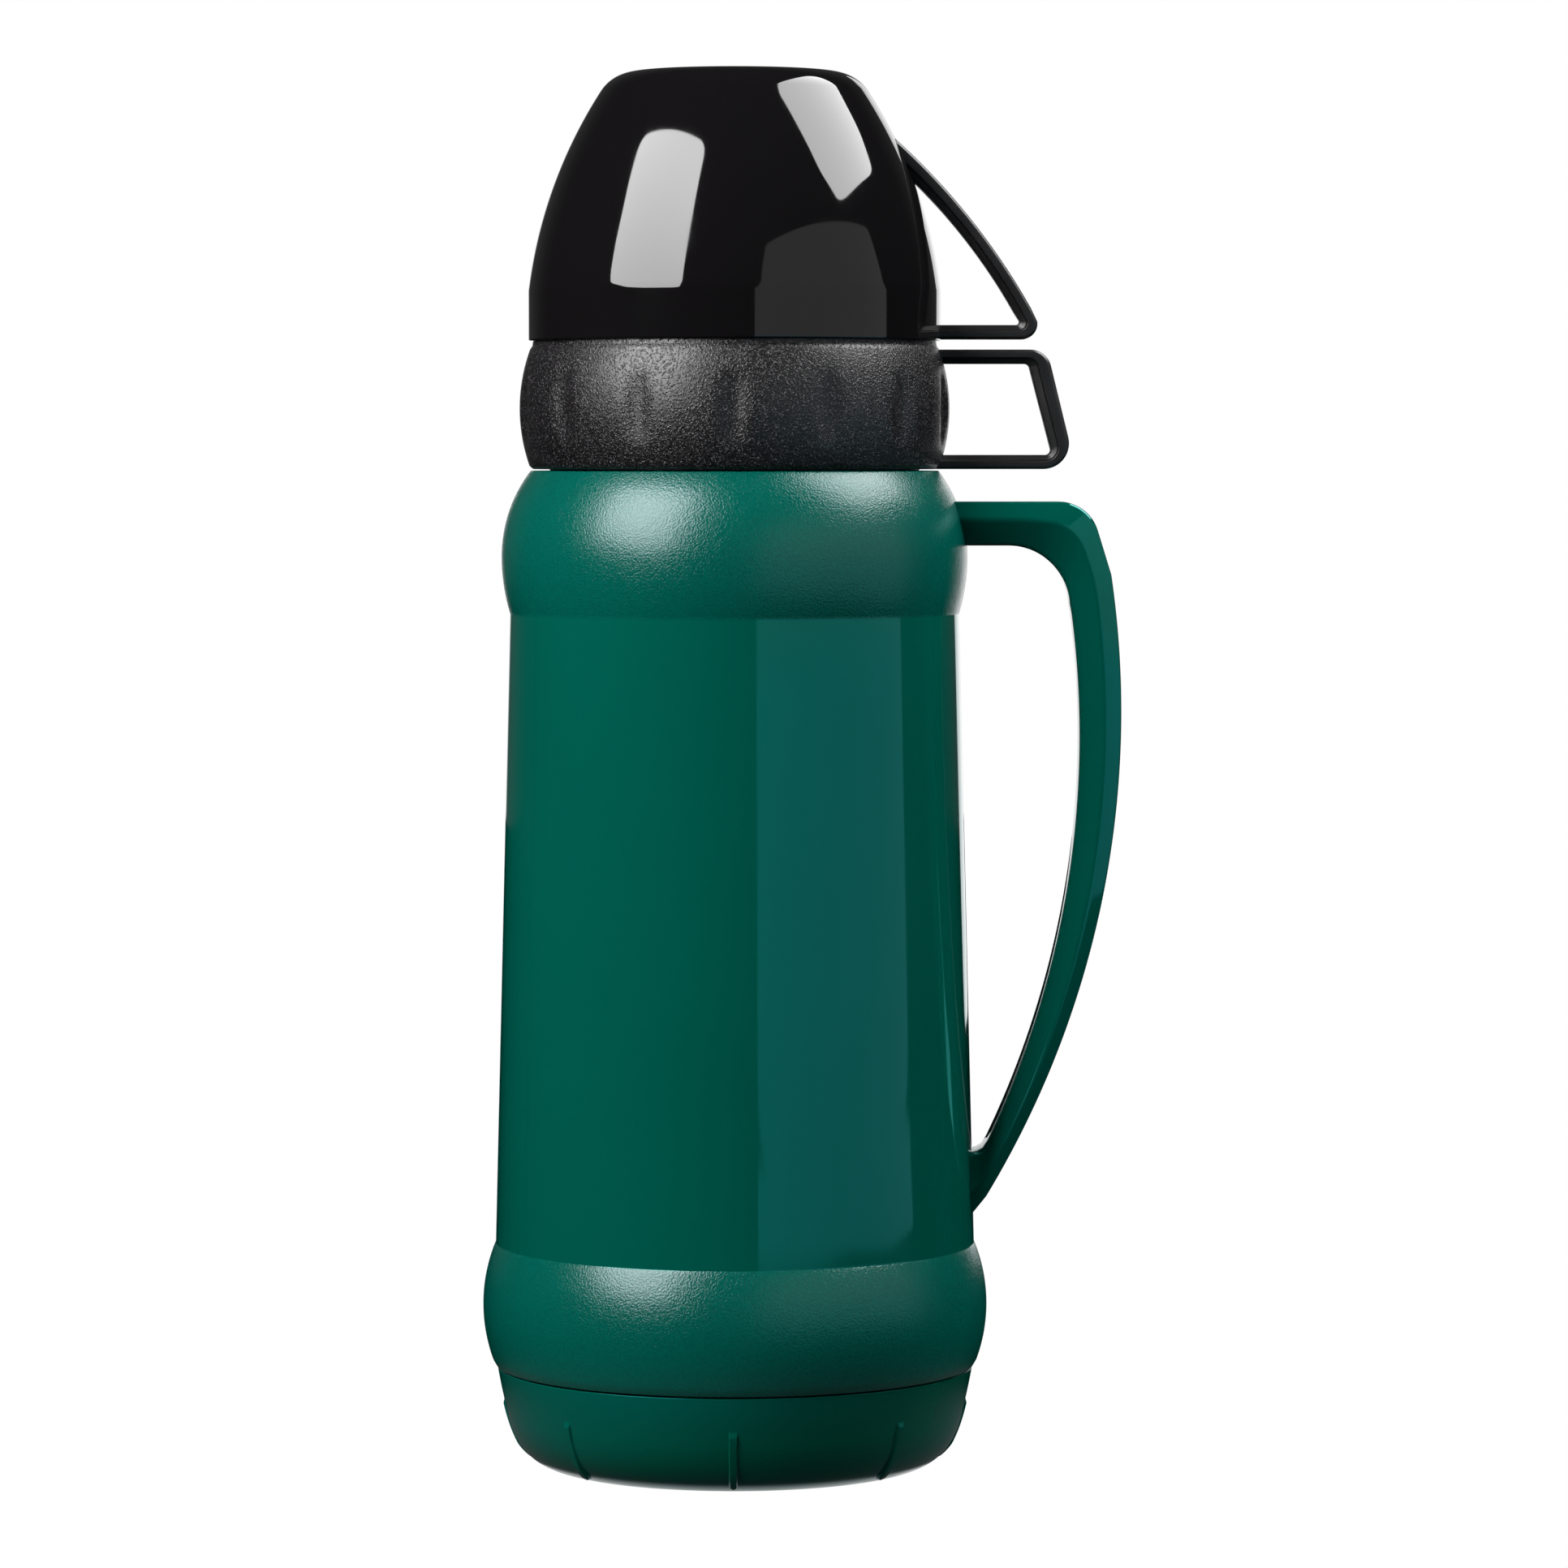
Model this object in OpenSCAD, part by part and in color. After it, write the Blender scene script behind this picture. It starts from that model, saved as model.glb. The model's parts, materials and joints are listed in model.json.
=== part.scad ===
// Glass-lined vacuum flask with two nested cups, a screw stopper, a moulded
// casing with a loop handle, and a screw-on base. Millimetres.
// The flask's axis is Z, it stands on z = 0, and every handle points to +X.

/* [Casing] */
// Height of the casing's mouth face above the table
casing_top = 260.5; // [259:0.5:262]
// Largest radius of the shoulder's bulge
shoulder_r = 60.9; // [60.5:0.1:62]
// Radius of the sleeve under the shoulder
sleeve_top_r = 58.8; // [58:0.1:58.9]
// Radius of the sleeve at its lower end
sleeve_low_r = 62.8; // [62:0.1:63]
// Largest radius of the lower bulge
bulge_r = 66.2; // [65.5:0.1:67]
// Wall of the casing
casing_wall = 2.6; // [2.2:0.1:3]
// Height of the seam between casing and base cap
seam_z = 26; // [25:0.5:27]

/* [Main handle] */
// Upper edge of the handle's arm
arm_top = 252.5; // [251:0.1:253]
// Height of the arm where it leaves the shoulder
arm_h = 11.5; // [10:0.1:13]
// Half of the handle's depth from front to back
handle_half_d = 11.8; // [9:0.1:13]

/* [Base cap] */
// Radius of the flat foot
foot_r = 49.3; // [47:0.1:51]
// Width of a rib on the base cap
rib_w = 2.2; // [1.5:0.1:3]
// Number of ribs round the base cap
rib_count = 8; // [4:1:12]

/* [Cups] */
// Height of the outer cup's closed end above the table
cup_top = 364.2; // [363:0.1:367]
// Radius of the outer cup's straight rim
cup_r = 53.8; // [53.6:0.1:54.4]
// Wall of the cups
cup_wall = 2.1; // [1.8:0.1:2.3]
// Lower edge of the outer cup
cup_rim_z = 294.2; // [294:0.1:294.6]
// Largest radius of the inner cup's band
band_r = 56.2; // [56:0.1:56.6]
// Number of finger scoops round the band
scoop_count = 14; // [10:1:18]
// Half of the depth of the cups' finger loops
loop_half_d = 5; // [4:0.1:6]

/* [Glass liner] */
// Outer radius of the liner
glass_r = 54.5; // [53:0.1:55]
// Wall of each glass bottle
glass_wall = 1.6; // [1.2:0.1:1.8]
// Gap between the two glass walls
vacuum_gap = 3.4; // [3:0.1:4]
// Inner radius of the mouth
mouth_r = 23.5; // [23:0.1:24]
// Height of the mouth's edge above the table
mouth_z = 266; // [265.5:0.1:266.2]

/* [Hidden] */
$fn = 96;

// Casing
shoulder_z = 238;            // height of the shoulder's widest ring
shoulder_up_r = 37;          // arc above that ring
shoulder_down_r = 51;        // arc below it
step_z = 223.2;              // shoulder ends and sleeve begins
ledge_z = 59.8;              // sleeve ends and lower bulge begins
bulge_z = 42;                // height of the lower bulge's widest ring
bulge_arc_r = 42;            // its arc
seam_gap = 0.3;              // shadow line between casing and base cap
casing_mouth_r = 44;         // hole in the casing's top
thread_room_r = 60.2;        // casing's bore for the base cap's skirt

// Base cap
base_wall = 2.6;
skirt_r = 58.9;              // skirt that screws into the casing
skirt_in_r = 55.8;
skirt_top = 40;
rib_low = 1.4;
rib_high = 16.8;

// Neck
collar_r = 48.3;             // core of the collar's outside thread
collar_lip_z = 291;
collar_bore_r = 29.4;
collar_wall = 2.5;
cup_clear = 0.4;             // radial room between thread crests

// Cups
band_low = 260.9;            // lower edge of the inner cup
band_high = 292.9;           // upper edge of its band
band_z = 276.6;              // height of the widest ring
band_arc_r = 45;
nest_gap = 0.7;              // room between the nested domes

// ---------------------------------------------------------------- helpers

// Points on an arc from angle a0 to a1
function arc(cx, cz, r, a0, a1, steps = 8) =
    [for (i = [0:steps]) let (a = a0 + (a1 - a0) * i / steps) [cx + r * cos(a), cz + r * sin(a)]];

// Points on a cubic curve through its two ends
function curve(p, steps = 8) =
    [for (i = [0:steps]) let (t = i / steps, s = 1 - t)
        s * s * s * p[0] + 3 * s * s * t * p[1] + 3 * s * t * t * p[2] + t * t * t * p[3]];

function reverse(list) = [for (i = [len(list) - 1:-1:0]) list[i]];

module turned(points) rotate_extrude() polygon(points);

module ring(r_in, r_out, z0, z1) turned([[r_in, z0], [r_out, z0], [r_out, z1], [r_in, z1]]);

module o_ring(mid_r, z, wire_r) rotate_extrude() translate([mid_r, z]) circle(r = wire_r, $fn = 32);

// A bar drawn through pairs of points in the XZ plane: pair[0] lies on the
// bar's outer side and pair[1] on its inner side. Each layer is [share where
// it starts, share where it ends, half depth], counted from outer to inner.
module layered_bar(pairs, layers, half_d)
    for (l = layers) rotate([90, 0, 0]) linear_extrude(height = 2 * half_d * l[2], center = true)
        polygon(concat(
            [for (p = pairs) p[0] + (p[1] - p[0]) * l[0]],
            reverse([for (p = pairs) p[0] + (p[1] - p[0]) * l[1]])
        ));

// Crests of a screw thread, one ring to a turn, with their feet sunk in the
// wall at foot_r. The crest may be inside or outside the foot.
module thread(foot_r, crest_r, z0, pitch, turns)
    for (i = [0:turns - 1]) let (z = z0 + i * pitch)
        turned([[foot_r, z - pitch * 0.36], [crest_r, z - pitch * 0.14],
                [crest_r, z + pitch * 0.14], [foot_r, z + pitch * 0.36]]);

// ----------------------------------------------------------------- casing

shoulder_up_a = asin((casing_top - shoulder_z) / shoulder_up_r);
shoulder_down_a = asin((shoulder_z - step_z) / shoulder_down_r);
bulge_up_a = asin((ledge_z - 1.2 - bulge_z) / bulge_arc_r);
bulge_down_a = asin((bulge_z - seam_z - 1.6) / bulge_arc_r);

casing_outline = concat(
    [[0, casing_top]],
    arc(shoulder_r - shoulder_up_r, shoulder_z, shoulder_up_r, shoulder_up_a, 0, 10),
    arc(shoulder_r - shoulder_down_r, shoulder_z, shoulder_down_r, -2, -shoulder_down_a, 6),
    [[sleeve_top_r, step_z - 0.5], [sleeve_low_r, ledge_z]],
    arc(bulge_r - bulge_arc_r, bulge_z, bulge_arc_r, bulge_up_a, -bulge_down_a, 12),
    [[62.5, seam_z], [0, seam_z]]
);

shoulder_in_a = asin((casing_top - casing_wall - shoulder_z) / (shoulder_up_r - casing_wall));
casing_hollow = concat(
    [[0, casing_top + 1], [casing_mouth_r, casing_top + 1], [casing_mouth_r, casing_top - casing_wall]],
    arc(shoulder_r - shoulder_up_r, shoulder_z, shoulder_up_r - casing_wall, shoulder_in_a, 0, 8),
    [[sleeve_top_r - casing_wall + 0.2, step_z - 2],
     [thread_room_r, ledge_z], [thread_room_r, seam_z - 1], [0, seam_z - 1]]
);

// The handle's outline is a level arm, a corner, a short straight and one
// long arc down to the sleeve.
arm_low = arm_top - arm_h;
corner_r = 10.5;
corner_c = [84.5, arm_top - corner_r];
corner_end_a = 16;
knee = [98.1, 233.5];
crook_r = 16;
crook_c = [71.4, arm_low - crook_r];
grip_r = 245;
grip_out_c = [100.8 - grip_r, 197.2];
grip_in_c = [90 - grip_r, 190.9];
grip_in_top = 225.9;
grip_low = [70.5, 84.5];       // where the outer and the inner arc end
corner_steps = 9;
grip_steps = 18;

function corner_point(t) =
    t < 0.33 ? [crook_c[0] + (corner_c[0] - crook_c[0]) * t / 0.33, arm_top]
    : t < 0.64 ? let (a = 90 - (90 - corner_end_a) * (t - 0.33) / 0.31)
        [corner_c[0] + corner_r * cos(a), corner_c[1] + corner_r * sin(a)]
    : let (e = [corner_c[0] + corner_r * cos(corner_end_a), corner_c[1] + corner_r * sin(corner_end_a)])
        e + (knee - e) * (t - 0.64) / 0.36;

function on_arc(c, r, z) = [c[0] + sqrt(r * r - (z - c[1]) * (z - c[1])), z];

handle_pairs = concat(
    [for (x = [48, 62]) [[x, arm_top], [x, arm_low]]],
    [for (i = [0:corner_steps]) let (t = i / corner_steps, a = 90 - 87 * t)
        [corner_point(t), [crook_c[0] + crook_r * cos(a), crook_c[1] + crook_r * sin(a)]]],
    [for (i = [1:grip_steps]) let (t = i / grip_steps)
        [on_arc(grip_out_c, grip_r, knee[1] - (knee[1] - grip_low[0]) * t),
         on_arc(grip_in_c, grip_r, grip_in_top - (grip_in_top - grip_low[1]) * t)]],
    [[[61.8, 66.2], [63.6, 82.4]], [[54, 57], [54, 82]]]
);

// Layers of the grip: widest near its outer side, with a slope inwards
grip_layers = [[0, 1, 0.42], [0.06, 0.9, 0.62], [0.14, 0.72, 0.82], [0.24, 0.52, 1]];

module casing() color("#00624f") {
    difference() {
        union() {
            turned(casing_outline);
            layered_bar(handle_pairs, grip_layers, handle_half_d);
        }
        turned(casing_hollow);
    }
}

// --------------------------------------------------------------- base cap

base_side = concat(
    curve([[foot_r, 0], [55.4, 1.6], [58.6, 7.2], [60, 14]], 10),
    curve([[60, 14], [60.7, 17.2], [61.7, 21.2], [62.4, seam_z - seam_gap]], 6)
);

// Outer line of a rib, flush with the wall at its top
rib_side = curve([[54.4, rib_low], [57.6, 5], [59.6, 10.5], [60.7, rib_high]], 8);

module base_ribs() {
    for (i = [0:rib_count - 1]) rotate([0, 0, -90 + i * 360 / rib_count])
        rotate([90, 0, 0]) linear_extrude(height = rib_w, center = true)
            polygon(concat([[50, rib_low + 1]], rib_side, [[55, rib_high]]));
}

module base_cap() color("#02503f") {
    difference() {
        union() {
            turned(concat([[0, 0]], base_side, [[0, seam_z - seam_gap]]));
            ring(skirt_in_r - 1, skirt_r, seam_z - 2, skirt_top);
            base_ribs();
        }
        turned(concat(
            [[0, base_wall], [foot_r - 1, base_wall]],
            curve([[foot_r - 1, base_wall], [52.5, 4], [54.6, 8], [skirt_in_r, 15]], 6),
            [[skirt_in_r, skirt_top + 1], [0, skirt_top + 1]]
        ));
        ring(skirt_r - 1.5, skirt_r + 1, 27.9, 30.1);
    }
    thread(skirt_r - 0.4, skirt_r + 0.8, 33.4, 3, 2);
}

module base_seal() color("#22211f") o_ring(skirt_r - 0.4, 29, 0.95);

// ------------------------------------------------------------ glass liner

inner_r = glass_r - glass_wall - vacuum_gap;
neck_in_r = mouth_r + glass_wall;
neck_gap_r = neck_in_r + 1.5;
neck_out_r = neck_gap_r + glass_wall;
dome_z = 44;                 // where the liner's rounded bottom begins
dome_h = 30;
liner_shoulder_z = 218;
lip_z = mouth_z - glass_wall;

// Half outline of a bottle from the middle of its bottom up to its neck
function bottle(r, neck_r, bottom_z, shoulder_end, top) = concat(
    [for (i = [0:10]) let (a = -90 + 90 * i / 10) [r * cos(a), dome_z + (dome_z - bottom_z) * sin(a)]],
    [for (i = [0:10]) let (a = 90 * i / 10)
        [neck_r + (r - neck_r) * cos(a), liner_shoulder_z + (shoulder_end - liner_shoulder_z) * sin(a)]],
    [[neck_r, top]]
);

module bottle_wall(r, neck_r, bottom_z, shoulder_end, top) turned(concat(
    bottle(r, neck_r, bottom_z, shoulder_end, top),
    reverse(bottle(
        r - glass_wall, neck_r - glass_wall, bottom_z + glass_wall, shoulder_end - glass_wall, top
    ))
));

module glass_outer_bottle() color("#c9d2d6") {
    bottle_wall(glass_r, neck_out_r, dome_z - dome_h, 250, lip_z);
    // Sealed evacuation tip
    turned([[0, 7], [1.2, 7.3], [2.4, 10], [3.4, 14.6], [0, 14.6]]);
}

module glass_inner_bottle() color("#dfe6e8") {
    bottle_wall(
        inner_r, neck_in_r, dome_z - dome_h + glass_wall + vacuum_gap, 250 - glass_wall - vacuum_gap, mouth_z
    );
    ring(mouth_r + 0.5, neck_out_r, lip_z, mouth_z);
}

module glass_spacer_pads() color("#d8d2c2")
    for (a = [90, 210, 330]) rotate([0, 0, a])
        translate([inner_r + 0.1, 0, 75]) rotate([0, 90, 0]) cylinder(d = 9, h = vacuum_gap - 0.5, $fn = 48);

module tip_protector() color("#2b2a28") ring(3.6, 6, 4.4, 12.6);

// -------------------------------------------------------- rubber cushions

// Height of the liner's underside at radius r
function liner_under(r) = dome_z - dome_h * sqrt(1 - pow(r / glass_r, 2));
// Height of the liner's shoulder at radius r
function liner_over(r) =
    liner_shoulder_z + (250 - liner_shoulder_z) * sqrt(1 - pow((r - neck_out_r) / (glass_r - neck_out_r), 2));

cushion_gap = 0.4;
cushion_z = base_wall + 0.3;

module cushion_rib(r0, r1) turned(concat(
    [[r0, cushion_z], [r1, cushion_z]],
    [for (i = [4:-1:0]) let (r = r0 + (r1 - r0) * i / 4) [r, liner_under(r) - cushion_gap]]
));

module liner_cushion() color("#2e2d2b") {
    ring(12, 46, cushion_z, cushion_z + 3);
    for (r = [12, 26, 40]) cushion_rib(r, r + 5);
}

module shoulder_cushion() color("#2e2d2b") turned(concat(
    [[46, 248.3], [40.2, 248.3]],
    [for (i = [0:4]) let (r = 40.2 + 5.8 * i / 4) [r, liner_over(r) + cushion_gap]]
));

module neck_gasket() color("#3a3835") turned([
    [neck_out_r + 0.1, 256], [31.6, 256], [31.6, 268], [27.6, 268],
    [27.6, mouth_z + 0.05], [neck_out_r + 0.1, mouth_z + 0.05]
]);

// ----------------------------------------------------------------- collar

module neck_collar() color("#1d1c1c") {
    difference() {
        turned([
            [41.2, 248.5], [43.6, 248.5], [43.6, casing_top], [collar_r, casing_top],
            [collar_r, 281], [collar_r - 0.5, 282.4], [collar_r - 1.8, 283.2],
            [35, 288.8], [34, 289.8], [33.4, 290.7], [32.6, collar_lip_z], [30.4, collar_lip_z],
            [29.7, 290.7], [collar_bore_r, 290], [collar_bore_r, 270.4], [27.4, 270.4],
            [27.4, 268.1], [31.9, 268.1], [31.9, 287], [collar_r - collar_wall, 280.4],
            [collar_r - collar_wall, casing_top + 2.4], [41.2, casing_top + 2.4]
        ]);
        ring(44.9, 46.9, casing_top - 1, casing_top + 1.9);
    }
    thread(collar_r - 0.4, collar_r + 1.5, 267, 5, 3);
    thread(collar_bore_r + 0.4, collar_bore_r - 0.7, 275, 4, 3);
}

module collar_seal() color("#3a3835") o_ring(45.9, casing_top + 0.93, 0.93);

// ---------------------------------------------------------------- stopper

plug_r = 27.3;
nose_r = 22;
plug_low = 246;
knob_top = 312;

module stopper_body() color("#8b8d8c") {
    turned([
        [19.8, plug_low], [nose_r, plug_low], [nose_r, 268.9], [plug_r, 268.9], [plug_r, 291.2],
        [31.8, 291.2], [32.4, 291.8], [32.4, 293], [31.8, 293.6], [24, 293.6], [24, 298], [0, 298],
        [0, 295.5], [21.6, 295.5], [21.6, 291.4], [25, 291.4], [25, 271], [19.8, 271]
    ]);
    thread(plug_r - 0.3, plug_r + 0.9, 274, 4, 4);
}

module stopper_knob() color("#232222") difference() {
    turned([
        [24.2, 293.8], [29.4, 293.8], [30, 294.6], [29, 305], [28.2, 309.2], [26.2, 311.3],
        [23, knob_top], [0, knob_top - 0.8], [0, 309.2], [24.2, 309.2]
    ]);
    for (a = [0:30:359]) rotate([0, 0, a]) translate([33.6, 0, 290]) cylinder(r = 5.4, h = 30, $fn = 40);
}

module stopper_foam() color("#e9e4d6") turned([
    [0, 248.7], [19.6, 248.7], [19.6, 271.2], [24.8, 271.2], [24.8, 291.2], [0, 291.2]
]);

module stopper_floor() color("#8b8d8c") cylinder(r = 19.7, h = 2.5, $fn = 96);

module stopper_seal() color("#cfd4d2") turned([
    [nose_r + 0.15, mouth_z + 0.15], [26.6, mouth_z + 0.15], [26.9, 267.4], [26.6, 268.6], [nose_r + 0.15, 268.6]
]);

// ------------------------------------------------------------------- cups

dome_a0 = 7;                 // lean of the dome where it leaves the rim
dome_a1 = 33;                // lean where its top corner begins
dome_r = 123;
top_corner_r = 11;
dome_start = cup_top - top_corner_r * (1 - sin(dome_a1)) - dome_r * (sin(dome_a1) - sin(dome_a0));

// Outline of a cup's dome, drawn inwards by gap, up to the axis
function dome(gap) = let (
        cx = cup_r - dome_r * cos(dome_a0), cz = dome_start - dome_r * sin(dome_a0),
        kx = cx + (dome_r - top_corner_r) * cos(dome_a1), kz = cup_top - top_corner_r
    ) concat(
        arc(cx, cz, dome_r - gap, dome_a0, dome_a1, 12),
        arc(kx, kz, top_corner_r - gap, dome_a1 + 5, 90, 8),
        [[0, cup_top - gap]]
    );

// Layers of the cups' loops: a strap with a slope on its inner side
loop_layers = [[0, 1, 0.3], [0.05, 0.83, 0.65], [0.1, 0.66, 1]];

// Triangular finger loop of the outer cup
bar_z = 294.7;
bar_h = 3.7;
strap_a = [50, 29.5];        // where the strap's arcs begin and end
outer_loop_pairs = concat(
    pairs(arc(-75, 216.6, 174.9, strap_a[0], strap_a[1]), arc(-57.2, 228.4, 149.2, strap_a[0], strap_a[1])),
    pairs(arc(74.9, bar_z + 4, 4, 8, -90), arc(73.3, bar_z + bar_h + 0.9, 0.9, 8, -90)),
    [for (x = [66, 50]) [[x, bar_z], [x, bar_z + bar_h]]]
);

function pairs(outer, inner) = [for (i = [0:len(outer) - 1]) [outer[i], inner[i]]];

module outer_cup() color("#121111") difference() {
    union() {
        turned(concat([[0, cup_rim_z], [cup_r, cup_rim_z]], dome(0)));
        layered_bar(outer_loop_pairs, loop_layers, loop_half_d);
    }
    turned(concat([[0, cup_rim_z - 1], [cup_r - cup_wall, cup_rim_z - 1]], dome(cup_wall)));
}

// Four-sided finger loop of the inner cup
loop_low = 260.9;
loop_high = 292;
side_lean = 13.5;            // lean of the side that joins the two bars
inner_loop_pairs = concat(
    [for (x = [46, 62]) [[x, loop_high], [x, loop_high - bar_h]]],
    pairs(
        arc(77.1, loop_high - 5.5, 5.5, 90, side_lean),
        arc(75.6, loop_high - bar_h - 1.3, 1.3, 90, side_lean)
    ),
    pairs(
        arc(80.5, loop_low + 6.7, 6.7, side_lean, -90),
        arc(81.1, loop_low + bar_h + 1.3, 1.3, side_lean, -90)
    ),
    [for (x = [62, 46]) [[x, loop_low], [x, loop_low + bar_h]]]
);

band_up_a = asin((band_high - 0.8 - band_z) / band_arc_r);
band_down_a = asin((band_z - band_low - 0.8) / band_arc_r);
nest_r = cup_r - cup_wall - nest_gap;
thread_wall_r = 51.4;

module inner_cup() color("#262525") {
    difference() {
        union() {
            turned(concat(
                [[0, band_low], [52.6, band_low]],
                arc(band_r - band_arc_r, band_z, band_arc_r, -band_down_a, band_up_a, 12),
                [[52.8, band_high], [52.7, cup_rim_z - 0.1], [nest_r, cup_rim_z - 0.1]],
                dome(cup_wall + nest_gap)
            ));
            layered_bar(inner_loop_pairs, loop_layers, loop_half_d);
        }
        turned(concat(
            [[0, band_low - 1], [thread_wall_r, band_low - 1], [thread_wall_r, 270.5],
             [53.2, 273], [53.2, 281], [nest_r - cup_wall, 290]],
            dome(2 * cup_wall + nest_gap)
        ));
        for (i = [0:scoop_count - 1]) rotate([0, 0, -90 + i * 360 / scoop_count])
            translate([band_r - 0.85 + 8, 0, band_low - 1]) cylinder(r = 8, h = 40, $fn = 48);
    }
    thread(thread_wall_r + 0.4, collar_r + 1.5 + cup_clear, 264, 5, 2);
}

casing();
base_cap();
base_seal();
liner_cushion();
glass_outer_bottle();
glass_inner_bottle();
glass_spacer_pads();
tip_protector();
shoulder_cushion();
neck_gasket();
neck_collar();
collar_seal();
stopper_body();
stopper_knob();
stopper_foam();
translate([0, 0, plug_low]) stopper_floor();
stopper_seal();
inner_cup();
outer_cup();
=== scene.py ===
"""Looks of the vacuum flask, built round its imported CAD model. Lengths in this script are millimetres
until a mesh is made; Blender's own units are metres."""

import bmesh
import bpy
import json
import math

import numpy as np
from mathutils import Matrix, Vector


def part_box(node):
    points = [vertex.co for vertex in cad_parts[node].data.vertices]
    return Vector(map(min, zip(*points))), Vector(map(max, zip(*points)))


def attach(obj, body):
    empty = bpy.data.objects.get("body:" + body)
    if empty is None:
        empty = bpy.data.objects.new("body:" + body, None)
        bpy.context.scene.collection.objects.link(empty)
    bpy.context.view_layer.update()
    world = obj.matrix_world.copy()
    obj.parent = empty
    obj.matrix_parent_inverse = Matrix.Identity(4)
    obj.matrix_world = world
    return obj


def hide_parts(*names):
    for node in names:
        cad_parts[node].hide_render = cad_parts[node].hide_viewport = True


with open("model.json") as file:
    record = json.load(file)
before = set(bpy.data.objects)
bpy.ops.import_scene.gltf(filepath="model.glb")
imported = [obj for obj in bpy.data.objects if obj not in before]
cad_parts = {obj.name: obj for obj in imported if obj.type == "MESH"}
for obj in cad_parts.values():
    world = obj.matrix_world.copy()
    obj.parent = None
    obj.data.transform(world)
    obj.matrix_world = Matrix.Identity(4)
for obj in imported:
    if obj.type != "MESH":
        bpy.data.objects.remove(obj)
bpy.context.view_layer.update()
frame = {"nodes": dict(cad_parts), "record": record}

MM = 0.001
TURN = 2 * math.pi


def size(node):
    """Lowest and highest corner of a CAD node, in millimetres."""
    low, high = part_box(node)
    return low / MM, high / MM


# --------------------------------------------------------------------- outlines


def arc(centre, radius, start, end, steps=24):
    """Points on an arc, from angle start to angle end in degrees."""
    angles = np.radians(np.linspace(start, end, steps + 1))
    return [(centre[0] + radius * math.cos(a), centre[1] + radius * math.sin(a)) for a in angles]


def bezier(p, steps=16):
    """Points on a cubic curve."""
    points = []
    for t in np.linspace(0, 1, steps + 1):
        s = 1 - t
        weights = (s * s * s, 3 * s * s * t, 3 * s * t * t, t * t * t)
        points.append(tuple(sum(w * q[i] for w, q in zip(weights, p)) for i in (0, 1)))
    return points


def rounded(corners, steps=5):
    """A closed outline whose corners given as (x, z, radius) become arcs."""
    points = []
    count = len(corners)
    for i, corner in enumerate(corners):
        if len(corner) == 2:
            points.append(tuple(corner))
            continue
        here = np.array(corner[:2], float)
        before = np.array(corners[i - 1][:2], float) - here
        after = np.array(corners[(i + 1) % count][:2], float) - here
        reach = 0.48 * min(np.linalg.norm(before), np.linalg.norm(after))
        before /= np.linalg.norm(before)
        after /= np.linalg.norm(after)
        half = 0.5 * math.acos(max(-1, min(1, float(before @ after))))
        if math.pi / 2 - half < 0.01:
            points.append(tuple(here))
            continue
        radius = min(corner[2], reach * math.tan(half))
        middle = (before + after) / np.linalg.norm(before + after)
        centre = here + middle * radius / math.sin(half)
        start = here + before * radius / math.tan(half) - centre
        end = here + after * radius / math.tan(half) - centre
        a0, a1 = math.atan2(start[1], start[0]), math.atan2(end[1], end[0])
        turn = (a1 - a0 + math.pi) % TURN - math.pi
        for k in range(steps + 1):
            a = a0 + turn * k / steps
            points.append((centre[0] + radius * math.cos(a), centre[1] + radius * math.sin(a)))
    return points


def firm(points, longest=6.0, fine=(), fine_step=0.3):
    """Adds points along straight stretches, so that shading stays true beside a rounded edge. Upright
    stretches at a radius in fine get one every fine_step, for a screw thread."""
    result = []
    count = len(points)
    for i in range(count):
        a, b = np.array(points[i], float), np.array(points[(i + 1) % count], float)
        result.append(tuple(a))
        if a[0] == 0 and b[0] == 0:
            continue
        length = np.linalg.norm(b - a)
        threaded = any(max(abs(a[0] - r), abs(b[0] - r)) < 0.01 for r in fine)
        step = fine_step if threaded else longest
        if length > 2.5:
            inner = [0.35 / length, *np.linspace(0, 1, int(length / step) + 2)[1:-1], 1 - 0.35 / length]
        else:
            inner = np.linspace(0, 1, int(length / step) + 2)[1:-1]
        result.extend(tuple(a + (b - a) * t) for t in sorted(inner))
    return result


# ----------------------------------------------------------------------- meshes


def make_object(name, vertices, faces, materials=(), slots=None):
    """A smooth-shaded object from vertices in millimetres."""
    mesh = bpy.data.meshes.new(name)
    mesh.from_pydata([tuple(v) for v in np.asarray(vertices) * MM], [], faces)
    for material in materials:
        mesh.materials.append(material)
    if slots is not None:
        mesh.polygons.foreach_set("material_index", slots)
    mesh.update()
    obj = bpy.data.objects.new(name, mesh)
    bpy.context.scene.collection.objects.link(obj)
    finish_mesh(obj)
    return obj


def finish_mesh(obj, sharp=38):
    """Merges doubled points, turns the faces outwards and shades them smooth, with sharp edges kept."""
    work = bmesh.new()
    work.from_mesh(obj.data)
    bmesh.ops.remove_doubles(work, verts=work.verts, dist=1e-6)
    bmesh.ops.dissolve_degenerate(work, edges=work.edges, dist=1e-7)
    bmesh.ops.recalc_face_normals(work, faces=work.faces)
    work.to_mesh(obj.data)
    work.free()
    obj.data.shade_smooth()
    obj.data.set_sharp_from_angle(angle=math.radians(sharp))


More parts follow.
